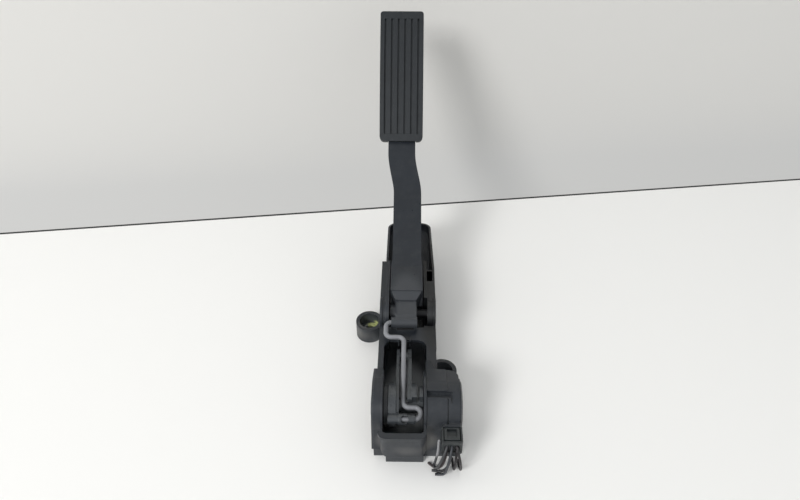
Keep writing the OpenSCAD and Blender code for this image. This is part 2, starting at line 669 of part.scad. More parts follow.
module sensor_cover() color(dark_plastic) {
  difference() {
    round_x(sensor_r - 1.4, sensor_out + 0.05, sensor_out + 1, drum_axis);
    block([sensor_out - 1, socket_near - 1, plug_z[0] - 0.3], [plug_x[1] + 0.3, drum_axis[0] - 7.7, plug_z[1] + bridge + 0.3]);
  }
  translate([sensor_out + 0.95, drum_axis[0], drum_axis[1]]) rotate([0, 90, 0])
    cylinder(r1 = sensor_r - 2, r2 = sensor_r - 4, h = sensor_cover_t - 0.95);
  plain_bush(sensor_out - 2, sensor_out + 0.1, drum_axis, sensor_r - 5.6, sensor_r - 4.1);
}

board_x = sensor_in + 12.2;
board_t = 1.2;
module sensor_circuit_board() color("#1f5b38") difference() {
  round_x(sensor_r - 4.4, board_x, board_x + board_t, drum_axis);
  for (a = [60, 240]) translate([0, drum_axis[0], drum_axis[1]]) rotate([a, 0, 0])
    translate([board_x - 1, sensor_r - 7, 0]) rotate([0, 90, 0]) cylinder(r = 1.2, h = 4);
}

// Six pins from the board's side of the socket into the plug
module sensor_terminals() color("#c9a24a") for (col = wire_cols) for (row = wire_rows)
  block([col - 0.32, socket_near + 3, row - 0.32], [col + 0.32, socket_near + 14, row + 0.32]);

module sensor_screws() color(steel) screw_spots() {
  translate([0, 0, pocket_right - screw_boss + 1]) cylinder(r = 1.45, h = sensor_in + 4.1 - pocket_right + screw_boss - 1);
  translate([0, 0, sensor_in + 4.05]) difference() {
    cylinder(r = 3.4, h = 2.4);
    translate([0, 0, 1]) cylinder(r = 1.6, h = 3, $fn = 6);
  }
}

module sensor_seal() color(rubber_black)
  translate([collar_right - seal_d / 2 - 0.05, drum_axis[0], drum_axis[1]]) rotate([0, 90, 0])
    rotate_extrude() translate([spigot_r + seal_d / 2 + 0.02, 0]) circle(r = seal_d / 2 - 0.01, $fn = 24);

module sensor_rotor() color("#e0e0dc") difference() {
  union() {
    round_x(9, sensor_in + 5.2, sensor_in + 7.4, drum_axis);
    round_x(6.4, sensor_in + 5.2, shaft_right + 0.6, drum_axis);
  }
  round_x(shaft_r + 0.02, sensor_in, shaft_right + 0.1, drum_axis);
}
module rotor_magnet() color("#4a4b4e")
  plain_bush(sensor_in + 7.45, sensor_in + 11, drum_axis, 6.45, 8.6);

// Harness plug

module plug_housing() color(dark_plastic) difference() {
  union() {
    block([plug_x[0] + socket_wall + 0.2, socket_near - 1, plug_z[0] + socket_wall + 0.2],
          [plug_x[1] - socket_wall - 0.2, socket_near + 5.4, plug_z[1] - socket_wall - 0.2]);
    slab_y(plug_near, socket_near - 0.05) soft_rect([plug_x[0], plug_z[0]], [plug_x[1], plug_z[1]], 1.5);
    for (x = [plug_x[0] - 0.6, plug_x[1] - 0.6])
      block([x, plug_near, plug_z[0] + 3], [x + 1.2, socket_near - 0.05, plug_z[1] + latch_t + 1]);
    slab_y(plug_near, plug_near + 2) soft_rect([plug_x[0] - 0.6, plug_z[0] - 0.4], [plug_x[1] + 0.6, plug_z[1] + 1.4], 1.5);
  }
  for (at = wire_starts) translate([at[0], plug_near + 6, at[1]]) rotate([-90, 0, 0]) cylinder(r = 0.8, h = 30);
  slab_y(plug_near - 1, plug_near + 4)
    soft_rect([plug_x[0] + 1.4, plug_z[0] + 1.6], [plug_x[1] - 1.4, plug_z[1] - 1.6], 2.5);
  block([plug_x[0] + 1.2, plug_near + 2.2, plug_z[1] + 0.1], [plug_x[1] - 1.2, socket_near, plug_z[1] + 9]);
}

// Sprung frame on top of the plug, hooked over the socket's nub
module plug_latch() color(dark_plastic) difference() {
  block([plug_x[0] + 1.3, plug_near + 2.4, plug_z[1] + 0.15],
        [plug_x[1] - 1.3, socket_near + 4.7, plug_z[1] + 0.15 + latch_t]);
  block([plug_x[0] + 3.4, plug_near + 5.4, plug_z[1]], [plug_x[1] - 3.4, socket_near - 1.4, plug_z[1] + 4]);
  block([plug_x[0] + 4.2, socket_near + 1, plug_z[1]], [plug_x[1] - 4.2, socket_near + 3.7, plug_z[1] + 4]);
}

module plug_seal() color("#5a5c5e") difference() {
  slab_y(plug_near + 0.6, plug_near + 3.95)
    soft_rect([plug_x[0] + 1.45, plug_z[0] + 1.65], [plug_x[1] - 1.45, plug_z[1] - 1.65], 2.4);
  for (at = wire_starts) translate([at[0], plug_near + wire_in + 0.2, at[1]]) rotate([90, 0, 0])
    cylinder(r = wire_d / 2 + 0.35, h = 5);
}

// Wires

module wire(k) color(wire_tints[k]) tube_along(
  concat([[wire_starts[k][0], plug_near + wire_in, wire_starts[k][1]]],
    through(concat([[wire_starts[k][0], plug_near - 0.8, wire_starts[k][1]]], wire_routes[k]), 2)),
  wire_d / 2, 8);
module wire_1() wire(0);
module wire_2() wire(1);
module wire_3() wire(2);
module wire_4() wire(3);
module wire_5() wire(4);
module wire_6() wire(5);

// Pedal arm

// Middle of the pad's plate, as [y, z], and points in the pad's own frame
plate_t = 3.5;
plate_mid = [184.7, 174.3];
function pad_point(along, behind) =
  plate_mid + along * [cos(pad_tilt), sin(pad_tilt)] + behind * [sin(pad_tilt), -cos(pad_tilt)];

arm_top = [[37, 59], [66, 69], [119, 94.5], pad_point(-53, 6.6)];
arm_under = [[0, 26.6], [45, 30], [122, 72], pad_point(-49, 17.6)];
knuckle_near = 9;
knuckle_top = 55;
curve_steps = 16;
jog_from = 138;
jog_to = 180;
function lateral(q) = jog_x * smooth((q - jog_from) / (jog_to - jog_from));

// Band of the arm's side between its front and back curves, pulled in by inset
module arm_band(inset) polygon(concat(
  inset > 0 ? [] : [[knuckle_near, knuckle_top - 9], [knuckle_near, knuckle_top]],
  [for (i = [0:curve_steps]) let (t = i / curve_steps)
    bezier(arm_top, t) - inset * left_of(bezier_slope(arm_top, t))],
  [for (i = [curve_steps:-1:inset > 0 ? 4 : 0]) let (t = i / curve_steps)
    bezier(arm_under, t) + inset * left_of(bezier_slope(arm_under, t))]));

// The arm as seen along its own thickness at the jog, half_w to either side
module arm_plan(half_w) rotate([45, 0, 0]) translate([0, 0, -150]) linear_extrude(300) polygon(concat(
  [[-half_w, 3]], [for (q = [jog_from:3:jog_to]) [lateral(q) - half_w, q]], [[jog_x - half_w, 240]],
  [[jog_x + half_w, 240]], [for (q = [jog_to:-3:jog_from]) [lateral(q) + half_w, q]], [[half_w, 3]]));

module arm_blade() difference() {
  intersection() {
    slab_x(-40, 40) arm_band(0);
    union() {
      arm_plan(arm_w / 2);
      linear_extrude(300) {
        translate([-hub_w / 2, -20]) square([hub_w, 58]);
        polygon([[-hub_w / 2, 37], [hub_w / 2, 37], [arm_w / 2, 45], [-arm_w / 2, 45]]);
      }
    }
  }
  // Side pockets either side of the web, with stiffening ribs left standing
  difference() {
    slab_x(-40, 40) arm_band(flange_t);
    arm_plan(web_t / 2);
    for (y = [52:16:148]) slab_x(-40, 40) polygon([[y, 0], [y + 2, 0], [y + 26, 200], [y + 24, 200]]);
  }
}

tail_x = [-9.6, 8.6];
tail_eye_x = [-13, 9.4];
hub_right = 9.4;
module arm_tail() {
  slab_x(tail_x[0], tail_x[1]) polygon([[-2, pivot_z + 3], [knuckle_near + 6, pivot_z + 6],
    [knuckle_near + 6, knuckle_top - 5.5], [-13, 47.6], arm_crank + [-1, tail_eye_r - 0.4], arm_crank + [0, -3]]);
  round_x(tail_eye_r, tail_eye_x[0], tail_eye_x[1], arm_crank);
  // Funnel from the knuckle's width down to the tail's
  intersection() {
    slab_x(-hub_w / 2, hub_w / 2) polygon([[0, pivot_z], [knuckle_near + 3, pivot_z], [knuckle_near + 3, knuckle_top - 1],
      [knuckle_near, knuckle_top - 1], [2, knuckle_top - 5]]);
    linear_extrude(100) polygon([[-hub_w / 2 + 1, knuckle_near + 3], [hub_w / 2 - 1, knuckle_near + 3],
      [hub_w / 2 - 1, knuckle_near], [tail_x[1], 2], [tail_x[0], 2], [-hub_w / 2 + 1, knuckle_near]]);
  }
}

// Slanted left edge of the tail's top
module tail_chamfer() translate([tail_x[0], -13, 45.4]) rotate([3.9, 0, 0]) rotate([0, -34.5, 0])
  translate([-6, 1, 0]) cube([10.1, 14.5, 9]);

// Curved plate and its spine behind the pad
module pad_frame() translate([jog_x - 0.8, plate_mid[0], plate_mid[1]]) rotate([pad_tilt, 0, 0]) children();
module pad_arc(length, r_in, r_out, half_w) {
  a = length / pad_curve_r * 180 / PI;
  translate([0, 0, -pad_curve_r]) about_x() rotate([0, 0, -a / 2]) rotate_extrude(angle = a, $fn = 360)
    translate([r_in, -half_w]) square([r_out - r_in, 2 * half_w]);
}
plate_w = pad_w - 5;
plate_l = pad_l - 6;
module pad_plate() pad_frame() intersection() {
  pad_arc(plate_l + 8, pad_curve_r - plate_t, pad_curve_r, plate_w / 2 + 1);
  translate([0, 0, -40]) linear_extrude(80) soft_rect([-plate_w / 2, -plate_l / 2], [plate_w / 2, plate_l / 2], 3);
}
module pad_spine() slab_x(jog_x - 6.5, jog_x + 5) polygon([pad_point(-57, 6), pad_point(-57, 17),
  pad_point(-20, 13), pad_point(45, 6.5), pad_point(45, 4.5), pad_point(0, 2)]);

module pedal_arm() color(black_plastic) difference() {
  union() {
    arm_blade();
    arm_tail();
    pad_plate();
    pad_spine();
    round_x(hub_r, -hub_w / 2, hub_right, arm_axis);
  }
  tail_chamfer();
  round_x(6.5 + seat, -hub_w, hub_w, arm_axis);
  round_x(rod_r + run, -20, 4, arm_crank);
}

module hub_bush(s) color("#c8c2ad") plain_bush(s < 0 ? -hub_w / 2 : 2, s < 0 ? -4 : hub_right, arm_axis, 4 + run, 6.5);
module left_hub_bush() hub_bush(-1);
module right_hub_bush() hub_bush(1);

pad_front = pad_t - plate_t - 1.6;
groove_w = 1.8;
groove_count = 6;
rim_top = 7.5;
rim_bottom = 6.8;
module pad_outline() {
  translate([0, 12]) soft_rect([-pad_w / 2, -20], [pad_w / 2, pad_l / 2 - 12], 3);
  soft_rect([-pad_w / 2, -pad_l / 2], [pad_w / 2, 0], 4.6);
}
module pad_cover() pad_frame() difference() {
  intersection() {
    pad_arc(pad_l + 8, pad_curve_r - plate_t - 1.6, pad_curve_r + pad_front, pad_w / 2 + 1);
    translate([0, 0, -40]) linear_extrude(80) pad_outline();
  }
  // Room for the plate, and the opening behind it inside the lips
  intersection() {
    pad_arc(plate_l + 8, pad_curve_r - plate_t - 0.1, pad_curve_r, plate_w / 2 + 1);
    translate([0, 0, -40]) linear_extrude(80)
      soft_rect([-plate_w / 2 - 0.1, -plate_l / 2 - 0.1], [plate_w / 2 + 0.1, plate_l / 2 + 0.1], 3);
  }
  translate([0, 0, -40]) linear_extrude(40 - plate_t / 2)
    soft_rect([-plate_w / 2 + 3, -plate_l / 2 + 3], [plate_w / 2 - 3, plate_l / 2 - 3], 3);
  block([-arm_w / 2 + 0.2, -pad_l / 2 - 1, -40], [arm_w / 2 + 1.4, -plate_l / 2 + 8, -4.9]);
  // Field of the grooves, let in from the front
  intersection() {
    pad_arc(pad_l + 4, pad_curve_r + pad_front - groove_depth, pad_curve_r + pad_front + 2, field_w / 2);
    pad_field(0);
  }
}
field_w = (groove_count - 1) * groove_pitch + groove_w;
module pad_field(grow) block([-pad_w, -pad_l / 2 + rim_bottom - grow, -20], [pad_w, pad_l / 2 - rim_top + grow, 20]);

// Rubber pad: a curved cover lipped round the plate, with long ribs in a framed field
module foot_pad() color(rubber_black) {
  pad_cover();
  pad_frame() for (k = [1:groove_count - 1]) intersection() {
    translate([(k - groove_count / 2) * groove_pitch, 0, 0])
      pad_arc(pad_l + 4, pad_curve_r + pad_front - groove_depth - 0.6, pad_curve_r + pad_front - 0.25,
              (groove_pitch - groove_w) / 2);
    pad_field(0.8);
  }
}

// Link rod: straight stretches and bends in the plane of the two crank pins

rod_bend = 4.8;
rod_len = norm(drum_crank - arm_crank);
hook_x = pocket_right - side_gap - rod_r;
rod_slope = atan2(drum_crank[1] - arm_crank[1], drum_crank[0] - arm_crank[0]);
rod_path = [[3, 0], [-17.3, 0], [-17.3, 15.8], [-1.9, 15.8], [-1.9, rod_len - 10], [hook_x, rod_len - 10],
            [hook_x, rod_len], [left_disc[0] + 6.5, rod_len]];

// Plane of the rod: its own X stays X, its own Y runs from the arm's pin to the drum's
module rod_plane() translate([0, arm_crank[0], arm_crank[1]]) rotate([rod_slope, 0, 0]) children();

module rod_stretch(a, b) {
  d = unit(b - a);
  translate([a[0], a[1], 0]) rotate([0, 0, atan2(d[1], d[0])]) rotate([0, 90, 0]) cylinder(r = rod_r, h = norm(b - a), $fn = 32);
}

// Bend at corner c, coming along unit direction u and leaving along v
module rod_corner(c, u, v) {
  middle = c - rod_bend * u + rod_bend * v;
  start = c - rod_bend * u - middle;
  side = cross([u[0], u[1], 0], [v[0], v[1], 0])[2] > 0 ? 0 : -90;
  translate([middle[0], middle[1], 0]) rotate([0, 0, atan2(start[1], start[0]) + side])
    rotate_extrude(angle = 90, $fn = 64) translate([rod_bend, 0]) circle(r = rod_r, $fn = 32);
}

module link_rod() color(steel) rod_plane() {
  last = len(rod_path) - 1;
  for (i = [0:last - 1]) {
    d = unit(rod_path[i + 1] - rod_path[i]);
    rod_stretch(rod_path[i] + (i == 0 ? 0 : rod_bend) * d, rod_path[i + 1] - (i == last - 1 ? 0 : rod_bend) * d);
  }
  for (i = [1:last - 1])
    rod_corner(rod_path[i], unit(rod_path[i] - rod_path[i - 1]), unit(rod_path[i + 1] - rod_path[i]));
}

bracket_housing();
left_mount_sleeve();
right_mount_sleeve();
pivot_pin();
pivot_pin_clip();
full_travel_stop();
idle_stop();
spring_cover();
left_shaft_bush();
right_shaft_bush();
wave_washer();
friction_ring();
return_spring_outer();
return_spring_inner();
sensor_housing();
sensor_cover();
sensor_circuit_board();
sensor_terminals();
sensor_screws();
sensor_seal();
plug_housing();
plug_latch();
plug_seal();
wire_1();
wire_2();
wire_3();
wire_4();
wire_5();
wire_6();
pedal_arm();
foot_pad();
left_hub_bush();
right_hub_bush();
link_rod();
drum_lever();
drum_shaft();
spring_carrier();
sensor_rotor();
rotor_magnet();
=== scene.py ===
"""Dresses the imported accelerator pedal: camera, harness wires, room, light and finishes."""

import json
import logging
import math
from dataclasses import dataclass
from enum import Enum
from typing import Dict, List, Sequence, Tuple, Union

import bmesh
import bpy
from mathutils import Euler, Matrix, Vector

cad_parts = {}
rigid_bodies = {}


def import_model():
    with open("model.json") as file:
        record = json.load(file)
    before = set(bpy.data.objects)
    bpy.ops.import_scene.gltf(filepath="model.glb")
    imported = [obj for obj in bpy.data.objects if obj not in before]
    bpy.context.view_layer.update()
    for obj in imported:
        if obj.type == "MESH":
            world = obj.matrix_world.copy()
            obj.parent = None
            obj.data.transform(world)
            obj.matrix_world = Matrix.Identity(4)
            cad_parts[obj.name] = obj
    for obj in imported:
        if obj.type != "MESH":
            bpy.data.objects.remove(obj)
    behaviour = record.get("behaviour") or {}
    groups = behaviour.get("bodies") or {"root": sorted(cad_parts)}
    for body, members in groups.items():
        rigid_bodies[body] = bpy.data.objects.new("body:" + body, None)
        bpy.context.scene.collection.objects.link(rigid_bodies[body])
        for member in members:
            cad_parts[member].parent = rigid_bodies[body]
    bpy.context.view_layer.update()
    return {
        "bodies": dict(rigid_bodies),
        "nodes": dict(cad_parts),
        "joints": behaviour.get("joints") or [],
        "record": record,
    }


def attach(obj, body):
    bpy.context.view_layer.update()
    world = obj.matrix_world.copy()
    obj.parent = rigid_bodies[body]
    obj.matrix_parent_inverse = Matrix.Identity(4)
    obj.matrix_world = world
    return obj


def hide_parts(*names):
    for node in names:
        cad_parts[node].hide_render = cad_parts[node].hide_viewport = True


Point = Tuple[float, float, float]
Colour = Tuple[float, float, float]
Pixel = Tuple[float, float]
Socket = bpy.types.NodeSocket

LOG = logging.getLogger("pedal")
MM = 0.001
PICTURE = (800.0, 500.0)

# What all finishes share. A noise is its scale per metre and its octaves
BROAD_NOISE = (38.0, 4.0)
PATCH_NOISE = (160.0, 6.0)
PATCH_SPAN = (0.3, 0.7)
STREAK_OCTAVES = 3.0
GRAIN_OCTAVES = 3.0
SOFT_OCTAVES = 1.0
BRUSH_STRETCH = 0.06
ROUGH_SPREAD = 0.09
# How much paler an edge gets: partly rubbed wear and partly painted glint.
WEAR_GLINT_GAIN = 2.6
WEAR_GLINT_LIFT = 0.02
DUST_COLOUR = (0.42, 0.41, 0.38)
# Grey for the deep recesses: partly gathered silt and partly painted fill light.
SILT_AND_FILL_COLOUR = (0.15, 0.162, 0.17)
SILT_AND_FILL_REACH = 0.03
RAYS = 4


def millimetres(points: Sequence[Point]) -> List[Vector]:
    """Points in millimetres as vectors in metres.

    Args:
        points: the points.

    Returns:
        The same points in metres.
    """
    return [Vector(p) * MM for p in points]


def show(name: str, data: bpy.types.ID) -> bpy.types.Object:
    """Puts an object with its data into the scene.

    Args:
        name: the object's name.
        data: its mesh, curve, camera or light.

    Returns:
        The object.
    """
    made = bpy.data.objects.new(name, data)
    bpy.context.scene.collection.objects.link(made)
    LOG.info("made %s", name)
    return made


class Grain(Enum):
    """How a surface is broken up."""

    SPARK = "fine eroded grain of a moulding tool"
    BRUSHED = "fine drawing lines along X"
    SOFT = "faint unevenness"


class Band(Enum):
    """Where a value begins to count, and where it counts in full."""

    WANDER = (0.36, 0.64)
    EDGE = (0.995, 0.86)
    WORN_AND_GLINTING = (0.38, 0.62)
    UPWARD = (0.55, 1.0)
    DUSTY = (0.46, 0.72)
    DEEP = (0.4, 0.03)
    MARKED = (1.0, 0.6)
    STREAK = (0.36, 0.48)


class Nodes:
    """A material's node tree, with the few steps that the finishes share."""

    def __init__(self, material: bpy.types.Material) -> None:
        """Empties the material's tree.

        Args:
            material: the material.
        """
        material.use_nodes = True
        self.tree = material.node_tree
        self.tree.nodes.clear()

    def add(self, kind: str) -> bpy.types.Node:
        """Adds a node.

        Args:
            kind: its type.

        Returns:
            The node.
        """
        return self.tree.nodes.new(kind)

    def link(self, start: Socket, end: Socket) -> None:
        """Links two sockets.

        Args:
            start: the socket that gives the value.
            end: the socket that takes it.
        """
        self.tree.links.new(start, end)

    def place(
        self, scale: Sequence[float] = (1.0, 1.0, 1.0), shift: Sequence[float] = (0.0, 0.0, 0.0)
    ) -> Socket:
        """Object coordinates, scaled and then shifted.

        Args:
            scale: factor along X, Y and Z.
            shift: what is added along X, Y and Z.

        Returns:
            The coordinates.
        """
        here = self.add("ShaderNodeTexCoord")
        fit = self.add("ShaderNodeMapping")
        fit.inputs["Scale"].default_value = scale
        fit.inputs["Location"].default_value = shift
        self.link(here.outputs["Object"], fit.inputs["Vector"])
        return fit.outputs["Vector"]

    def noise(self, place: Socket, scale: float, octaves: float, rough: float = 0.6) -> Socket:
        """Adds a noise.

        Args:
            place: its coordinates.
            scale: its scale per metre.
            octaves: how many times it is laid over itself, finer each time.
            rough: how much each finer octave counts.

        Returns:
            The noise, from 0 to 1.
        """
        node = self.add("ShaderNodeTexNoise")
        node.inputs["Scale"].default_value = scale
        node.inputs["Detail"].default_value = octaves
        node.inputs["Roughness"].default_value = rough
        self.link(place, node.inputs["Vector"])
        return node.outputs["Fac"]

    def band(self, value: Socket, band: Band) -> Socket:
        """Maps a value to 0 where a band begins and to 1 where it is full, smoothly.

        Args:
            value: what is mapped.
            band: the band.

        Returns:
            The mapped value.
        """
        low, high = band.value
        node = self.add("ShaderNodeMapRange")
        node.interpolation_type = "SMOOTHSTEP"
        node.inputs["From Min"].default_value = min(low, high)
        node.inputs["From Max"].default_value = max(low, high)
        node.inputs["To Min"].default_value = 0.0 if low < high else 1.0
        node.inputs["To Max"].default_value = 1.0 if low < high else 0.0
        self.link(value, node.inputs["Value"])
        return node.outputs["Result"]

    def times(self, first: Socket, second: Union[Socket, float]) -> Socket:
        """Multiplies a value by another or by a number.

        Args:
            first: the value.
            second: the other value, or a number.

        Returns:
            The product.
        """
        node = self.add("ShaderNodeMath")
        node.operation = "MULTIPLY"
        self.link(first, node.inputs[0])
        if isinstance(second, float):
            node.inputs[1].default_value = second
        else:
            self.link(second, node.inputs[1])
        return node.outputs["Value"]

    def mix(
        self, first: Union[Socket, Colour], second: Union[Socket, Colour], share: Socket
    ) -> Socket:
        """Mixes two colours.

        Args:
            first: a colour.
            second: the colour that covers it.
            share: how much of the second there is.

        Returns:
            The mixed colour.
        """
        node = self.add("ShaderNodeMix")
        node.data_type = "RGBA"
        for name, value in (("A", first), ("B", second)):
            socket = next(s for s in node.inputs if s.name == name and s.type == "RGBA")
            if isinstance(value, tuple):
                socket.default_value = (*value, 1.0)
            else:
                self.link(value, socket)
        self.link(share, node.inputs["Factor"])
        return next(s for s in node.outputs if s.type == "RGBA")


@dataclass(frozen=True)
class Mark:
    """A patch of another colour at one place of the object.

    Attributes:
        middle: its middle, in millimetres.
        radii: how far it reaches along X, Y and Z, in millimetres.
        colour: its linear colour.
        streaks: scale of the gaps in it per metre, or 0 for an even patch.
    """

    middle: Point
    radii: Point
    colour: Colour
    streaks: float = 0.0

    def cover(self, nodes: Nodes) -> Socket:
        """Says where the mark lies.

        Args:
            nodes: the material's nodes.

        Returns:
            1 on the mark and 0 off it.
        """
        away = nodes.add("ShaderNodeVectorMath")
        away.operation = "LENGTH"
        scale = [1.0 / (r * MM) for r in self.radii]
        shift = [-m / r for m, r in zip(self.middle, self.radii)]
        nodes.link(nodes.place(scale, shift), away.inputs[0])
        inside = nodes.band(away.outputs["Value"], Band.MARKED)
        if not self.streaks:
            return inside
        gaps = nodes.noise(nodes.place(), self.streaks, STREAK_OCTAVES)
        return nodes.times(inside, nodes.band(gaps, Band.STREAK))


@dataclass(frozen=True)
class Finish:
    """One surface finish, as a node material.

    Attributes:
        slot: the record's material slot, or a node that has a finish of its own.
        base: linear base colour.
        rough: mean roughness.
        metal: metallic share.
        grain: the kind of grain.
        grain_mm: size of one grain.
        relief: height of the grain in millimetres.
        mottle: how far the colour wanders, as a share.
        wear_and_glint: how much lighter the edges are, partly rubbed wear and partly painted
            glint.
        dust: how much pale dust lies on upward faces.
        silt_and_fill: how much lighter grey the deep recesses are, partly gathered silt and partly
            painted fill light.
        edge_mm: radius over which edges look rounded.
        specular: level of the plain reflection.
        marks: patches of other colours, the last on top.
    """

    slot: str
    base: Colour
    rough: float
    metal: float = 0.0
    grain: Grain = Grain.SPARK
    grain_mm: float = 0.45
    relief: float = 0.02
    mottle: float = 0.18
    wear_and_glint: float = 0.5
    dust: float = 0.12
    silt_and_fill: float = 0.0
    edge_mm: float = 0.35
    specular: float = 0.5
    marks: Tuple[Mark, ...] = ()

    def material(self) -> bpy.types.Material:
        """Builds the material.

        Returns:
            The new material, named after its slot.
        """
        made = bpy.data.materials.new("finish_" + self.slot)
        nodes = Nodes(made)
        out = nodes.add("ShaderNodeOutputMaterial")
        shader = nodes.add("ShaderNodeBsdfPrincipled")
        shader.inputs["Metallic"].default_value = self.metal
        shader.inputs["Specular IOR Level"].default_value = self.specular
        nodes.link(shader.outputs["BSDF"], out.inputs["Surface"])
        patch = nodes.noise(nodes.place(), *PATCH_NOISE)
        normal = self._rounded(nodes)
        nodes.link(self._colour(nodes, patch, normal), shader.inputs["Base Color"])
        nodes.link(self._roughness(nodes, patch), shader.inputs["Roughness"])
        nodes.link(self._grained(nodes, normal), shader.inputs["Normal"])
        return made

    def _rounded(self, nodes: Nodes) -> Socket:
        """Rounds the edges softly.

        Args:
            nodes: the material's nodes.

        Returns:
            The rounded normal.
        """
        node = nodes.add("ShaderNodeBevel")
        node.samples = RAYS
        node.inputs["Radius"].default_value = self.edge_mm * MM
        return node.outputs["Normal"]

    def _grained(self, nodes: Nodes, normal: Socket) -> Socket:
        """Lays the grain on the rounded surface.

        Args:
            nodes: the material's nodes.
            normal: the rounded normal.

        Returns:
            The normal with its grain.
        """
        along = BRUSH_STRETCH if self.grain is Grain.BRUSHED else 1.0
        octaves = SOFT_OCTAVES if self.grain is Grain.SOFT else GRAIN_OCTAVES
        place = nodes.place((along, 1.0, 1.0))
        bump = nodes.add("ShaderNodeBump")
        bump.inputs["Strength"].default_value = 1.0
        bump.inputs["Distance"].default_value = self.relief * MM
        height = nodes.noise(place, 1.0 / (self.grain_mm * MM), octaves, rough=0.5)
        nodes.link(height, bump.inputs["Height"])
        nodes.link(normal, bump.inputs["Normal"])
        return bump.outputs["Normal"]

    def _colour(self, nodes: Nodes, patch: Socket, normal: Socket) -> Socket:
        """Builds the colour up: the moulding, its wear with painted edge glint, dust, silt with
        painted fill light, and the marks, some of them painted light and shade.

        Args:
            nodes: the material's nodes.
            patch: patchy noise.
            normal: the rounded normal.

        Returns:
            The colour.
        """
        colour = self._worn_and_glinting(nodes, self._wandering(nodes), patch, normal)
        colour = self._dusted(nodes, colour, patch)
        if self.silt_and_fill:
            colour = self._silted_and_lit(nodes, colour)
        for mark in self.marks:
            colour = nodes.mix(colour, mark.colour, mark.cover(nodes))
        return colour

    def _wandering(self, nodes: Nodes) -> Socket:
        """Lets the base colour wander a little.

        Args:
            nodes: the material's nodes.

        Returns:
            The colour.
        """
        low = tuple(c * (1.0 - self.mottle) for c in self.base)
        high = tuple(min(1.0, c * (1.0 + self.mottle)) for c in self.base)
        broad = nodes.noise(nodes.place(), *BROAD_NOISE)
        return nodes.mix(low, high, nodes.band(broad, Band.WANDER))

    def _worn_and_glinting(self, nodes: Nodes, colour: Socket, patch: Socket, normal: Socket) -> Socket:
        """Lightens the edges, partly as rubbed wear and partly as painted glint.

        Args:
            nodes: the material's nodes.
            colour: the colour so far.
            patch: patchy noise.
            normal: the rounded normal, which leaves the flat one at an edge.

        Returns:
            The colour.
        """
        flat = nodes.add("ShaderNodeNewGeometry")
        agree = nodes.add("ShaderNodeVectorMath")
        agree.operation = "DOT_PRODUCT"
        nodes.link(flat.outputs["Normal"], agree.inputs[0])
        nodes.link(normal, agree.inputs[1])
        edge = nodes.band(agree.outputs["Value"], Band.EDGE)
        edge_wear_and_glint = nodes.times(edge, nodes.band(patch, Band.WORN_AND_GLINTING))
        pale = tuple(min(1.0, c * WEAR_GLINT_GAIN + WEAR_GLINT_LIFT) for c in self.base)
        return nodes.mix(colour, pale, nodes.times(edge_wear_and_glint, self.wear_and_glint))

    def _dusted(self, nodes: Nodes, colour: Socket, patch: Socket) -> Socket:
        """Lays dust on the upward faces.

        Args:
            nodes: the material's nodes.
            colour: the colour so far.
            patch: patchy noise.

        Returns:
            The colour.
        """
        flat = nodes.add("ShaderNodeNewGeometry")
        split = nodes.add("ShaderNodeSeparateXYZ")
        nodes.link(flat.outputs["Normal"], split.inputs["Vector"])
        upward = nodes.band(split.outputs["Z"], Band.UPWARD)
        lying = nodes.times(upward, nodes.band(patch, Band.DUSTY))
        return nodes.mix(colour, DUST_COLOUR, nodes.times(lying, self.dust))

    def _silted_and_lit(self, nodes: Nodes, colour: Socket) -> Socket:
        """Lightens the deep recesses with grey where little light comes in, partly as gathered
        silt and partly as painted fill light.

        Args:
            nodes: the material's nodes.
            colour: the colour so far.

        Returns:
            The colour.
        """
        deep = nodes.add("ShaderNodeAmbientOcclusion")
        deep.samples = RAYS
        deep.inputs["Distance"].default_value = SILT_AND_FILL_REACH
        share = nodes.band(deep.outputs["AO"], Band.DEEP)
        return nodes.mix(colour, SILT_AND_FILL_COLOUR, nodes.times(share, self.silt_and_fill))

    def _roughness(self, nodes: Nodes, patch: Socket) -> Socket:
        """Makes the roughness patchy.

        Args:
            nodes: the material's nodes.
            patch: patchy noise.

        Returns:
            The roughness.
        """
        node = nodes.add("ShaderNodeMapRange")
        node.inputs["From Min"].default_value = PATCH_SPAN[0]
        node.inputs["From Max"].default_value = PATCH_SPAN[1]
        node.inputs["To Min"].default_value = max(0.05, self.rough - ROUGH_SPREAD)
        node.inputs["To Max"].default_value = min(1.0, self.rough + ROUGH_SPREAD)
        nodes.link(patch, node.inputs["Value"])
        return node.outputs["Result"]


# The photograph's paint smear and pale wire end, and patches that bring the tones nearer to its
# own. The other marks are painted light and shade, and only their brightness is matched. Whether
# dust, wear or light makes those can't be seen, so only their brightness is matched
PAINT_SMEAR = Mark((-31.8, 12.6, 7.0), (7.4, 4.0, 4.5), (0.68, 0.72, 0.3), streaks=360.0)
# Painted reflection: the lip's front face is lightened where its gloss would mirror the pale
# table.
LIP_PAINTED_REFLECTION = Mark((1.5, -118.5, 18.0), (28.0, 10.0, 14.0), (0.125, 0.122, 0.117))
# Painted fill light: the deep well around the lever is lightened, as if more light reached into
# it.
WELL_PAINTED_FILL_LIGHT = Mark((1.0, -67.0, 8.0), (24.0, 45.0, 22.0), (0.34, 0.35, 0.36))
# Painted light: the cup's front wall is lightened, as if more light fell on it from the front.
CUP_PAINTED_LIGHT = Mark((-36.5, 4.0, 9.0), (13.0, 10.0, 12.0), (0.075, 0.075, 0.073))
# Painted shade: the bracket's right side is darkened where the light from the left falls weaker.
RIGHT_PAINTED_SHADE = Mark((22.0, 24.0, 42.0), (14.0, 100.0, 18.0), (0.004, 0.0048, 0.0058))
# Painted light: the tail and the knuckle's flat top are lightened where more light falls from
# above.
TAIL_PAINTED_LIGHT = Mark((0.0, -5.0, 48.0), (20.0, 46.0, 24.0), (0.042, 0.046, 0.052))
CLEAN_END = Mark((25.0, -126.0, 24.0), (5.0, 6.0, 16.0), (0.3, 0.3, 0.31))


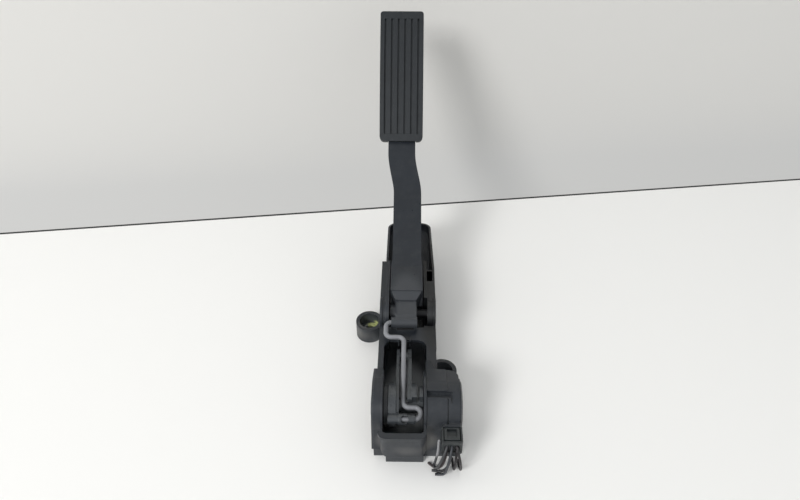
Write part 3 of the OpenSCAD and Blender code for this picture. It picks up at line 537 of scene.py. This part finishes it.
def moulding(
    slot: str,
    base: Colour,
    rough: float,
    grain_mm: float,
    relief: float,
    wear_and_glint: float,
    edge_mm: float = 0.35,
    dust: float = 0.02,
    silt_and_fill: float = 0.0,
    specular: float = 0.5,
    marks: Tuple[Mark, ...] = (),
) -> Finish:
    """The even, dark finish that the moulded pieces have in common.

    Args:
        slot: the record's slot or the node.
        base: linear base colour.
        rough: mean roughness.
        grain_mm: size of one grain.
        relief: height of the grain in millimetres.
        wear_and_glint: how much lighter the edges are, partly rubbed wear and partly painted
            glint.
        edge_mm: radius over which edges look rounded.
        dust: how much pale dust lies on upward faces.
        silt_and_fill: how much lighter grey the deep recesses are, partly gathered silt and partly
            painted fill light.
        specular: level of the plain reflection.
        marks: patches of other colours.

    Returns:
        The finish.
    """
    return Finish(
        slot,
        base,
        rough,
        grain_mm=grain_mm,
        relief=relief,
        mottle=0.07,
        wear_and_glint=wear_and_glint,
        dust=dust,
        silt_and_fill=silt_and_fill,
        edge_mm=edge_mm,
        specular=specular,
        marks=marks,
    )


def insulation(slot: str, base: Colour, marks: Tuple[Mark, ...] = ()) -> Finish:
    """The soft finish of a wire.

    Args:
        slot: the wire's slot.
        base: linear base colour.
        marks: patches of other colours.

    Returns:
        The finish.
    """
    return Finish(
        slot,
        base,
        rough=0.42,
        grain=Grain.SOFT,
        relief=0.01,
        wear_and_glint=0.1,
        dust=0.03,
        edge_mm=0.1,
        marks=marks,
    )


FINISHES = (
    moulding(
        "black_plastic",
        (0.0125, 0.0158, 0.021),
        rough=0.42,
        grain_mm=0.5,
        relief=0.018,
        wear_and_glint=0.5,
        edge_mm=0.4,
        silt_and_fill=0.75,
        specular=0.6,
        marks=(CUP_PAINTED_LIGHT, PAINT_SMEAR, LIP_PAINTED_REFLECTION, WELL_PAINTED_FILL_LIGHT, RIGHT_PAINTED_SHADE),
    ),
    moulding(
        "black_plastic_smooth",
        (0.0205, 0.0245, 0.0295),
        rough=0.38,
        grain_mm=0.8,
        relief=0.01,
        wear_and_glint=0.5,
        edge_mm=0.6,
        silt_and_fill=0.5,
        specular=0.7,
    ),
    moulding(
        "pedal_arm",
        (0.0125, 0.0158, 0.021),
        rough=0.36,
        grain_mm=0.5,
        relief=0.015,
        wear_and_glint=0.45,
        edge_mm=0.4,
        marks=(TAIL_PAINTED_LIGHT,),
    ),
    # Paler base and stronger edge lightening than the other black mouldings: painted light and
    # glint on the lever deep in its pocket.
    moulding(
        "drum_lever",
        (0.036, 0.041, 0.046),
        rough=0.33,
        grain_mm=0.8,
        relief=0.01,
        wear_and_glint=0.7,
        edge_mm=0.7,
        silt_and_fill=0.6,
        specular=0.8,
    ),
    moulding(
        "pad_rubber",
        (0.0125, 0.0155, 0.0185),
        rough=0.55,
        grain_mm=0.35,
        relief=0.02,
        wear_and_glint=0.15,
        dust=0.015,
        specular=0.45,
    ),
    moulding(
        "plug_plastic",
        (0.02, 0.0245, 0.026),
        rough=0.4,
        grain_mm=0.6,
        relief=0.012,
        wear_and_glint=0.25,
        specular=0.65,
    ),
    Finish("rubber_stop", (0.015, 0.015, 0.016), 0.75, grain_mm=0.6, wear_and_glint=0.1, dust=0.03),
    Finish("seal_rubber", (0.03, 0.033, 0.036), 0.7, grain=Grain.SOFT, wear_and_glint=0.1, dust=0.03),
    Finish(
        "zinc_steel",
        (0.245, 0.25, 0.265),
        rough=0.6,
        metal=0.2,
        grain=Grain.BRUSHED,
        grain_mm=0.3,
        relief=0.005,
        mottle=0.08,
        wear_and_glint=0.15,
        dust=0.02,
        marks=(PAINT_SMEAR,),
    ),
    Finish(
        "spring_steel",
        (0.022, 0.022, 0.024),
        rough=0.45,
        metal=0.4,
        grain=Grain.BRUSHED,
        grain_mm=0.3,
        relief=0.005,
        mottle=0.1,
        wear_and_glint=0.1,
        dust=0.02,
    ),
    Finish(
        "acetal",
        (0.04, 0.041, 0.043),
        rough=0.4,
        grain=Grain.SOFT,
        grain_mm=0.8,
        relief=0.006,
        wear_and_glint=0.2,
        dust=0.03,
    ),
    Finish(
        "friction_resin",
        (0.035, 0.037, 0.04),
        rough=0.45,
        grain_mm=0.3,
        wear_and_glint=0.4,
        dust=0.02,
        silt_and_fill=0.4,
        edge_mm=0.5,
    ),
    Finish("circuit_board", (0.02, 0.11, 0.05), 0.3, grain=Grain.SOFT, relief=0.004, wear_and_glint=0.1),
    Finish(
        "tinned_brass",
        (0.6, 0.52, 0.34),
        rough=0.3,
        metal=1.0,
        grain=Grain.BRUSHED,
        grain_mm=0.2,
        relief=0.004,
        mottle=0.1,
        wear_and_glint=0.2,
        dust=0.0,
    ),
    Finish("magnet_ferrite", (0.05, 0.05, 0.055), 0.5, metal=0.4, grain=Grain.SOFT, grain_mm=0.4),
    insulation("wire_brown", (0.034, 0.023, 0.024)),
    insulation("wire_grey", (0.036, 0.037, 0.04)),
    insulation("wire_dark", (0.015, 0.012, 0.014)),
    insulation("wire_white", (0.04, 0.041, 0.044), marks=(CLEAN_END,)),
    insulation("wire_slate", (0.03, 0.033, 0.04)),
)


class Paintbox:
    """All finishes, made once each."""

    def __init__(self) -> None:
        """Makes every material."""
        self.materials: Dict[str, bpy.types.Material] = {f.slot: f.material() for f in FINISHES}

    def paint(self, piece: bpy.types.Object, slot: str) -> None:
        """Gives a piece the finish of a slot.

        Args:
            piece: the piece.
            slot: the record's slot.
        """
        piece.data.materials.append(self.materials[slot])

    def dress_nodes(self, frame: dict) -> None:
        """Gives each CAD node its own finish, or else its slot's.
        """
        for row in frame["record"]["subparts"]:
            node = frame["nodes"][row["node"]]
            finish = self.materials.get(row["node"], self.materials[row["material_slot"]])
            for holder in node.material_slots:
                holder.link = "OBJECT"
                holder.material = finish
            LOG.info("dressed %s", row["node"])


@dataclass
class Eye:
    """The camera, fitted to the photograph.

    Attributes:
        stands: where it is, in millimetres.
        down: pitch below the horizon, in degrees.
        left: yaw to the left, in degrees.
        pixels: focal length, in pixels of the picture.
    """

    stands: Point = (-0.07, -384.2, 437.5)
    down: float = 40.5
    left: float = 0.84
    pixels: float = 620.0

    @property
    def turn(self) -> Euler:
        """The camera's rotation.

        Returns:
            The rotation.
        """
        return Euler((math.radians(90.0 - self.down), 0.0, math.radians(self.left)))

    def build(self) -> None:
        """Makes the camera and makes it the scene's own."""
        data = bpy.data.cameras.new("camera")
        data.sensor_width = 36.0
        data.lens = self.pixels / PICTURE[0] * data.sensor_width
        data.clip_start = 0.01
        data.clip_end = 20.0
        eye = show("camera", data)
        eye.location = Vector(self.stands) * MM
        eye.rotation_euler = self.turn
        bpy.context.scene.camera = eye

    def on_table(self, pixel: Pixel) -> Vector:
        """The point of the table that a pixel shows.

        Args:
            pixel: the pixel's column and row in the picture.

        Returns:
            The point, in metres.
        """
        across, down = (at - size / 2 for at, size in zip(pixel, PICTURE))
        ray = Vector((across, -down, -self.pixels))
        ray.rotate(self.turn)
        start = Vector(self.stands) * MM
        return start - ray * (start.z / ray.z)


@dataclass(frozen=True)
class SheetFinish:
    """A plain finish for one flat sheet of the room.

    Attributes:
        name: the sheet's name.
        colour: linear colour.
        rough: roughness.
        specular: level of the plain reflection.
    """

    name: str
    colour: Colour
    rough: float
    specular: float = 0.3

    def material(self) -> bpy.types.Material:
        """Builds the material, which can be looked through from its back.

        Returns:
            The material.
        """
        made = bpy.data.materials.new("room_" + self.name)
        nodes = Nodes(made)
        out = nodes.add("ShaderNodeOutputMaterial")
        shader = nodes.add("ShaderNodeBsdfPrincipled")
        shader.inputs["Base Color"].default_value = (*self.colour, 1.0)
        shader.inputs["Roughness"].default_value = self.rough
        shader.inputs["Specular IOR Level"].default_value = self.specular
        side = nodes.add("ShaderNodeNewGeometry")
        clear = nodes.add("ShaderNodeBsdfTransparent")
        mix = nodes.add("ShaderNodeMixShader")
        nodes.link(side.outputs["Backfacing"], mix.inputs[0])
        nodes.link(shader.outputs["BSDF"], mix.inputs[1])
        nodes.link(clear.outputs["BSDF"], mix.inputs[2])
        nodes.link(mix.outputs["Shader"], out.inputs["Surface"])
        return made


@dataclass
class Room:
    """The pale table with a dark strip of painted shade along its far edge, and the wall behind
    that edge.

    Attributes:
        eye: the camera that places the table's edge.
        edge: the table's far edge, as two pixels of the photograph.
        reach: how far table and wall go, in metres.
        gap: distance from the table's edge to the wall, in metres.
        foot: how far below the table the wall begins, in metres.
        edge_painted_shade_width: width of the strip of painted shade, in metres.
        table: finish of the table.
        edge_painted_shade: finish of the strip of painted shade.
        wall: finish of the wall.
    """

    eye: Eye
    edge: Tuple[Pixel, Pixel] = ((0.0, 234.5), (800.0, 180.0))
    reach: float = 3.0
    gap: float = 0.08
    foot: float = 0.5
    edge_painted_shade_width: float = 0.003
    table: SheetFinish = SheetFinish("table", (0.965, 0.955, 0.93), rough=0.5)
    edge_painted_shade: SheetFinish = SheetFinish("edge_painted_shade", (0.03, 0.03, 0.03), rough=0.6)
    wall: SheetFinish = SheetFinish("wall", (0.685, 0.672, 0.645), rough=0.8)

    def build(self) -> None:
        """Makes the table with its strip of painted shade, and the wall."""
        left, right = (self.eye.on_table(pixel) for pixel in self.edge)
        along = (right - left).normalized()
        away = Vector((-along.y, along.x, 0.0))
        up = Vector((0.0, 0.0, 1.0))
        middle = (left + right) / 2
        foot = middle + away * self.gap - up * self.foot
        self._sheet(self.table, middle, along, -away * self.reach)
        # A dark strip of painted shade along the table's far edge, where the gap to the wall would
        # lie in shade.
        self._sheet(self.edge_painted_shade, middle, along, away * self.edge_painted_shade_width)
        self._sheet(self.wall, foot, along, up * self.reach)

    def _sheet(self, finish: SheetFinish, middle: Vector, along: Vector, across: Vector) -> None:
        """Makes one flat sheet that starts at an edge and faces the camera.

        Args:
            finish: its finish.
            middle: the middle of that edge.
            along: direction of that edge.
            across: the way from that edge to the opposite one.
        """
        half = along * self.reach
        corners = [middle - half, middle + half, middle + half + across, middle - half + across]
        if along.cross(across).dot(Vector(self.eye.stands) * MM - middle) < 0:
            corners.reverse()
        mesh = bmesh.new()
        mesh.faces.new([mesh.verts.new(c) for c in corners])
        data = bpy.data.meshes.new(finish.name)
        mesh.to_mesh(data)
        mesh.free()
        data.materials.append(finish.material())
        sheet = show(finish.name, data)


@dataclass(frozen=True)
class Lamp:
    """One soft studio lamp.

    Attributes:
        name: its name.
        stands: where it is, in metres.
        aims: what it points at, in metres.
        size: its width in metres.
        watts: its power.
    """

    name: str
    stands: Point
    aims: Point
    size: float
    watts: float

    def build(self) -> None:
        """Hangs the lamp."""
        data = bpy.data.lights.new(self.name, "AREA")
        data.shape = "SQUARE"
        data.size = self.size
        data.energy = self.watts
        lamp = show(self.name, data)
        lamp.location = self.stands
        aim = Vector(self.aims) - Vector(self.stands)
        lamp.rotation_euler = aim.to_track_quat("-Z", "Y").to_euler()


@dataclass(frozen=True)
class EvenLight:
    """The even light that fills the room.

    Attributes:
        colour: its colour.
        strength: its strength.
    """

    colour: Colour
    strength: float

    def build(self) -> None:
        """Makes it the scene's world."""
        world = bpy.data.worlds.new("world")
        bpy.context.scene.world = world
        world.use_nodes = True
        back = world.node_tree.nodes["Background"]
        back.inputs["Color"].default_value = (*self.colour, 1.0)
        back.inputs["Strength"].default_value = self.strength


KEY_LAMP = Lamp("key", (-1.75, -2.2, 1.95), (0.0, 0.05, 0.05), size=1.0, watts=61.0)
EVEN_LIGHT = EvenLight((0.94, 0.97, 1.0), 0.63)


@dataclass
class Harness:
    """The six cut wires behind the plug.

    Attributes:
        thickness: a wire's diameter in millimetres.
        seal_y: where the wires come out of the plug's seal.
        straight: how far they leave it straight, in millimetres.
        columns: X of the plug's cavities.
        rows: Z of its cavities.
        routes: each wire's waypoints after the seal, in millimetres, as in the CAD.
        slots: each wire's finish.
        steps: points of the curve from one waypoint to the next.
        easing: how often the curve is eased.
        roundness: Blender's resolution of the wires' section.
    """

    thickness: float = 2.0
    seal_y: float = -127.9
    straight: float = 2.4
    columns: Tuple[float, ...] = (30.85, 34.65, 38.45)
    rows: Tuple[float, ...] = (24.2, 28.8)
    routes: Tuple[Tuple[Point, ...], ...] = (
        ((29.5, -133.5, 16), (27, -133.5, 8), (23.5, -131, 2.4), (20, -128, 1.3), (18, -126, 1.3)),
        ((33.5, -134, 15), (31, -134.5, 7), (28, -133.6, 1.9), (24, -133.2, 1.3),
         (20.5, -132.5, 1.3)),
        ((38, -134, 16), (37.5, -134.5, 8), (37.3, -132, 2.3), (36.9, -127, 1.3),
         (36.5, -122, 1.3)),
        ((27.5, -135.5, 21), (24, -135.5, 9), (22, -131.5, 5.2), (23.6, -127.5, 8),
         (25, -126, 17), (25, -126, 31)),
        ((33, -136, 23), (31.5, -137.5, 13), (30, -137, 4), (26.5, -136, 1.3), (23, -135.8, 1.3)),
        ((40.5, -135.5, 22), (42, -136, 12), (42.2, -133.5, 4), (41.5, -128.5, 1.4),
         (41, -123, 1.3)),
    )
    slots: Tuple[str, ...] = (
        "wire_brown", "wire_grey", "wire_dark", "wire_white", "wire_slate", "wire_dark",
    )
    steps: int = 4
    easing: int = 3
    roundness: int = 4

    def build(self, paintbox: Paintbox) -> None:
        """Args:
            paintbox: the finishes.
        """
        starts = [(x, z) for z in self.rows for x in self.columns]
        for k, ((x, z), route, slot) in enumerate(zip(starts, self.routes, self.slots), 1):
            ways = [(x, self.seal_y, z), (x, self.seal_y - self.straight, z), *route]
            line = self._eased(self._smooth(millimetres(ways)))
            name = "wire_%d" % k
            piece = self._tube("harness_" + name, line)
            paintbox.paint(piece, slot)
            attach(piece, "bracket")
            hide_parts(name)

    def _smooth(self, ways: List[Vector]) -> List[Vector]:
        """A smooth curve (Catmull-Rom) through the waypoints.

        Args:
            ways: the waypoints.

        Returns:
            The curve's points.
        """
        line: List[Vector] = []
        last = len(ways) - 1
        for i in range(last):
            a, b = ways[max(0, i - 1)], ways[i]
            c, d = ways[i + 1], ways[min(last, i + 2)]
            first = c - a
            second = 2 * a - 5 * b + 4 * c - d
            third = 3 * b - a - 3 * c + d
            for s in range(self.steps):
                t = s / self.steps
                line.append(b + 0.5 * (first * t + second * t * t + third * t * t * t))
        return [*line, ways[last]]

    def _eased(self, line: List[Vector]) -> List[Vector]:
        """Eases the bends, because a wire is stiffer than its waypoints.

        Args:
            line: the curve's points.

        Returns:
            The eased curve, with its ends where they were.
        """
        for _ in range(self.easing):
            eased = [(a + 2 * b + c) / 4 for a, b, c in zip(line[2:], line[3:], line[4:])]
            line = [*line[:3], *eased, line[-1]]
        return line

    def _tube(self, name: str, line: List[Vector]) -> bpy.types.Object:
        """A round wire along a line.

        Args:
            name: the piece's name.
            line: its centreline.

        Returns:
            The piece.
        """
        data = bpy.data.curves.new(name, "CURVE")
        data.dimensions = "3D"
        data.bevel_depth = self.thickness / 2 * MM
        data.bevel_resolution = self.roundness
        data.use_fill_caps = True
        spline = data.splines.new("POLY")
        spline.points.add(len(line) - 1)
        for point, place in zip(spline.points, line):
            point.co = (*place, 1.0)
        return show(name, data)


def main() -> None:
    """Builds the whole scene in order."""
    logging.basicConfig(level=logging.INFO, format="%(name)s: %(message)s")
    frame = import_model()
    bpy.context.scene.view_settings.view_transform = "Standard"
    eye = Eye()
    eye.build()
    paintbox = Paintbox()
    Harness().build(paintbox)
    Room(eye).build()
    KEY_LAMP.build()
    EVEN_LIGHT.build()
    paintbox.dress_nodes(frame)


if __name__ == "__main__":
    main()
